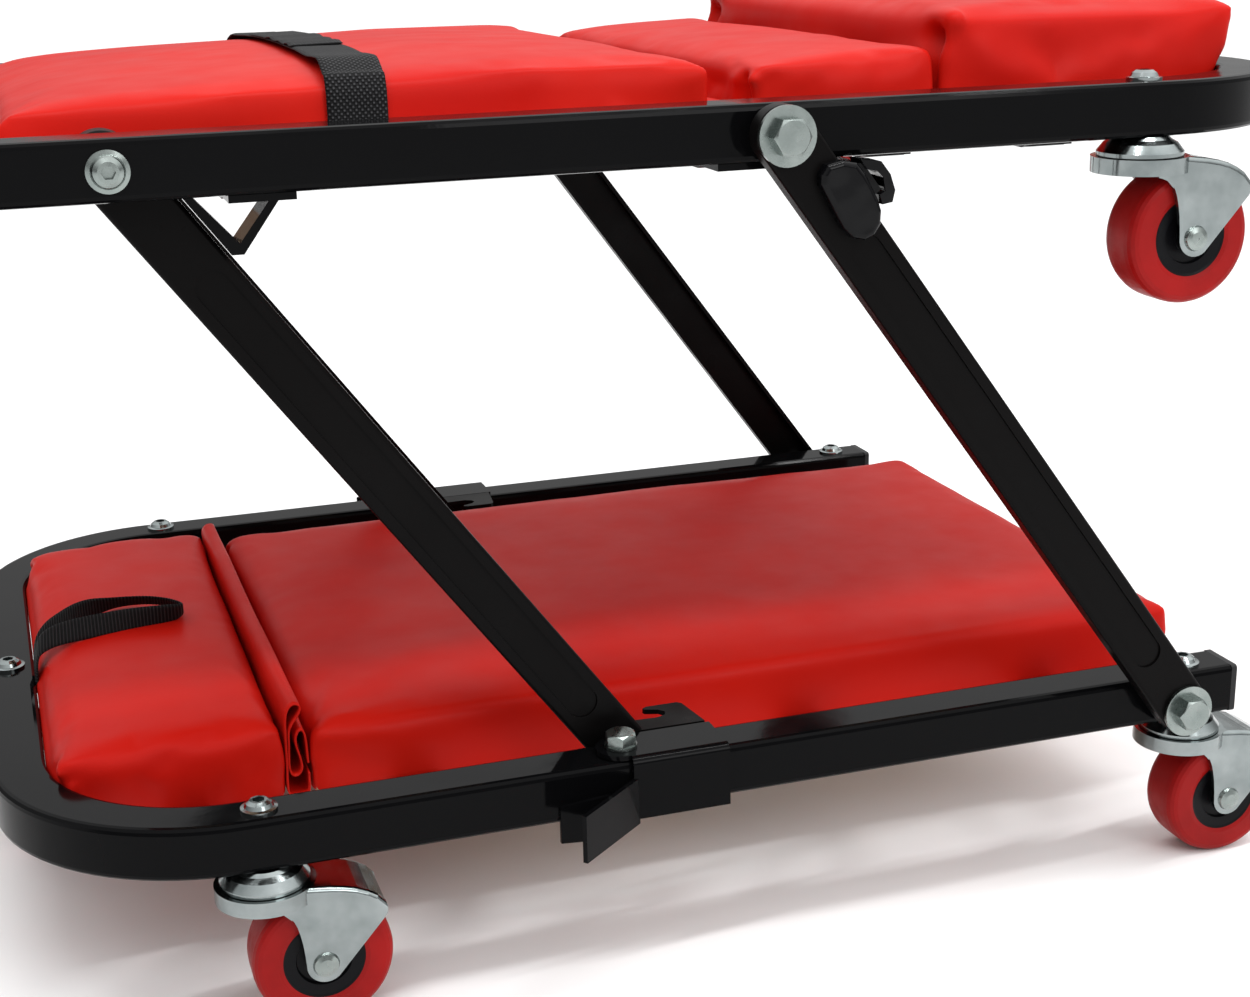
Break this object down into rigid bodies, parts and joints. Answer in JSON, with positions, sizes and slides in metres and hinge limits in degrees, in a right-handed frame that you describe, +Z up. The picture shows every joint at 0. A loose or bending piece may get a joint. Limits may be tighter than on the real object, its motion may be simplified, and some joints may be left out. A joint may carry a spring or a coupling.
{
  "type": "folding creeper seat",
  "caption": "Folding workshop creeper seat: red padded upper and lower frames of black tube on swivel casters, joined by swinging links, shown raised as a stool.",
  "frame": {"origin": "centre of the bounding box on the floor, seat raised", "axes": "+X along the rails from the lower frame's closed end to its open end, +Y away from the viewer to the far side, +Z up"},
  "size_m": [0.658, 0.5208, 0.435],
  "materials": {
    "frame_paint": "gloss black paint",
    "black_plastic": "satin",
    "plywood": "raw plywood",
    "red_vinyl": "smooth vinyl cover over foam",
    "webbing": "woven webbing",
    "zinc": "bright zinc plate",
    "tread_red": "satin polyurethane",
    "hub_black": "moulded"
  },
  "bodies": {
    "lower_frame": {"lower_frame_tube": "frame_paint", "lower_tube_caps": "black_plastic", "lower_cross_bars": "frame_paint", "lower_pad_boards": "plywood", "small_pad": "red_vinyl", "large_pad": "red_vinyl", "lower_hinge_fold": "red_vinyl", "loop_handle": "webbing", "lower_caster_mounts": "zinc", "lower_pivot_bolts": "zinc", "latch_bolts": "zinc"},
    "upper_frame": {"upper_frame_tube": "frame_paint", "upper_tube_caps": "black_plastic", "upper_cross_bars": "frame_paint", "upper_pad_boards": "plywood", "stop_straps": "frame_paint", "seat_pad": "red_vinyl", "shoulder_pad": "red_vinyl", "headrest_pad": "red_vinyl", "upper_hinge_fold": "red_vinyl", "seat_strap": "webbing", "upper_caster_mounts": "zinc", "upper_hex_bolts": "zinc", "upper_button_bolts": "zinc"},
    "outer_link_near": {"right_link_near": "frame_paint", "stop_hook_near": "frame_paint"},
    "outer_link_far": {"right_link_far": "frame_paint", "stop_hook_far": "frame_paint"},
    "inner_link_near": {"left_link_near": "frame_paint"},
    "inner_link_far": {"left_link_far": "frame_paint"},
    "latch_near": {"latch_near": "frame_paint"},
    "latch_far": {"latch_far": "frame_paint"},
    "fork_nl": {"fork_nl": "zinc", "axle_nl": "zinc"},
    "wheel_nl": {"tyre_nl": "tread_red", "hub_nl": "hub_black"},
    "fork_fl": {"fork_fl": "zinc", "axle_fl": "zinc"},
    "wheel_fl": {"tyre_fl": "tread_red", "hub_fl": "hub_black"},
    "fork_ml": {"fork_ml": "zinc", "axle_ml": "zinc"},
    "wheel_ml": {"tyre_ml": "tread_red", "hub_ml": "hub_black"},
    "fork_nr": {"fork_nr": "zinc", "axle_nr": "zinc"},
    "wheel_nr": {"tyre_nr": "tread_red", "hub_nr": "hub_black"},
    "fork_fr": {"fork_fr": "zinc", "axle_fr": "zinc"},
    "wheel_fr": {"tyre_fr": "tread_red", "hub_fr": "hub_black"},
    "fork_un": {"fork_un": "zinc", "axle_un": "zinc"},
    "wheel_un": {"tyre_un": "tread_red", "hub_un": "hub_black"},
    "fork_uf": {"fork_uf": "zinc", "axle_uf": "zinc"},
    "wheel_uf": {"tyre_uf": "tread_red", "hub_uf": "hub_black"}
  },
  "joints": [
    {"name": "fold", "type": "hinge", "parent": "lower_frame", "child": "outer_link_near", "pos_m": [0.245, -0.2424, 0.0915], "axis": [0, 1, 0], "range_deg": [0, 126.4]},
    {"name": "outer_far_pivot", "type": "hinge", "parent": "lower_frame", "child": "outer_link_far", "pos_m": [0.245, 0.2424, 0.0915], "axis": [0, 1, 0], "range_deg": [0, 126.4]},
    {"name": "upper_level", "type": "hinge", "parent": "outer_link_near", "child": "upper_frame", "pos_m": [0.029, -0.2424, 0.3845], "axis": [0, 1, 0], "range_deg": [-126.4, 0]},
    {"name": "inner_near_pivot", "type": "hinge", "parent": "upper_frame", "child": "inner_link_near", "pos_m": [-0.246, -0.201, 0.3845], "axis": [0, 1, 0], "range_deg": [0, 126.4]},
    {"name": "inner_far_pivot", "type": "hinge", "parent": "upper_frame", "child": "inner_link_far", "pos_m": [-0.246, 0.201, 0.3845], "axis": [0, 1, 0], "range_deg": [0, 126.4]},
    {"name": "latch_near_pivot", "type": "hinge", "parent": "lower_frame", "child": "latch_near", "pos_m": [-0.041, -0.216, 0.1056], "axis": [0, 0, -1], "range_deg": [0, 22], "stiffness_Nm_per_rad": 0.8},
    {"name": "latch_far_pivot", "type": "hinge", "parent": "lower_frame", "child": "latch_far", "pos_m": [-0.041, 0.216, 0.1056], "axis": [0, 0, 1], "range_deg": [0, 22], "stiffness_Nm_per_rad": 0.8},
    {"name": "swivel_nl", "type": "hinge", "parent": "lower_frame", "child": "fork_nl", "pos_m": [-0.2075, -0.216, 0.069], "axis": [0, 0, 1], "continuous": true},
    {"name": "roll_nl", "type": "hinge", "parent": "fork_nl", "child": "wheel_nl", "pos_m": [-0.1855, -0.216, 0.03175], "axis": [0, 1, 0], "continuous": true},
    {"name": "swivel_fl", "type": "hinge", "parent": "lower_frame", "child": "fork_fl", "pos_m": [-0.2075, 0.216, 0.069], "axis": [0, 0, 1], "continuous": true},
    {"name": "roll_fl", "type": "hinge", "parent": "fork_fl", "child": "wheel_fl", "pos_m": [-0.1855, 0.216, 0.03175], "axis": [0, 1, 0], "continuous": true},
    {"name": "swivel_ml", "type": "hinge", "parent": "lower_frame", "child": "fork_ml", "pos_m": [-0.3065, 0, 0.069], "axis": [0, 0, 1], "continuous": true},
    {"name": "roll_ml", "type": "hinge", "parent": "fork_ml", "child": "wheel_ml", "pos_m": [-0.2845, 0, 0.03175], "axis": [0, 1, 0], "continuous": true},
    {"name": "swivel_nr", "type": "hinge", "parent": "lower_frame", "child": "fork_nr", "pos_m": [0.26, -0.216, 0.069], "axis": [0, 0, 1], "continuous": true},
    {"name": "roll_nr", "type": "hinge", "parent": "fork_nr", "child": "wheel_nr", "pos_m": [0.282, -0.216, 0.03175], "axis": [0, 1, 0], "continuous": true},
    {"name": "swivel_fr", "type": "hinge", "parent": "lower_frame", "child": "fork_fr", "pos_m": [0.26, 0.216, 0.069], "axis": [0, 0, 1], "continuous": true},
    {"name": "roll_fr", "type": "hinge", "parent": "fork_fr", "child": "wheel_fr", "pos_m": [0.282, 0.216, 0.03175], "axis": [0, 1, 0], "continuous": true},
    {"name": "swivel_un", "type": "hinge", "parent": "upper_frame", "child": "fork_un", "pos_m": [0.218, -0.216, 0.362], "axis": [0, 0, 1], "continuous": true},
    {"name": "roll_un", "type": "hinge", "parent": "fork_un", "child": "wheel_un", "pos_m": [0.24, -0.216, 0.32475], "axis": [0, 1, 0], "continuous": true},
    {"name": "swivel_uf", "type": "hinge", "parent": "upper_frame", "child": "fork_uf", "pos_m": [0.218, 0.216, 0.362], "axis": [0, 0, 1], "continuous": true},
    {"name": "roll_uf", "type": "hinge", "parent": "fork_uf", "child": "wheel_uf", "pos_m": [0.24, 0.216, 0.32475], "axis": [0, 1, 0], "continuous": true}
  ],
  "couplings": [
    {"joint": "outer_far_pivot", "follows": "fold", "ratio": 1},
    {"joint": "upper_level", "follows": "fold", "ratio": -1},
    {"joint": "inner_near_pivot", "follows": "fold", "ratio": 1},
    {"joint": "inner_far_pivot", "follows": "fold", "ratio": 1}
  ]
}
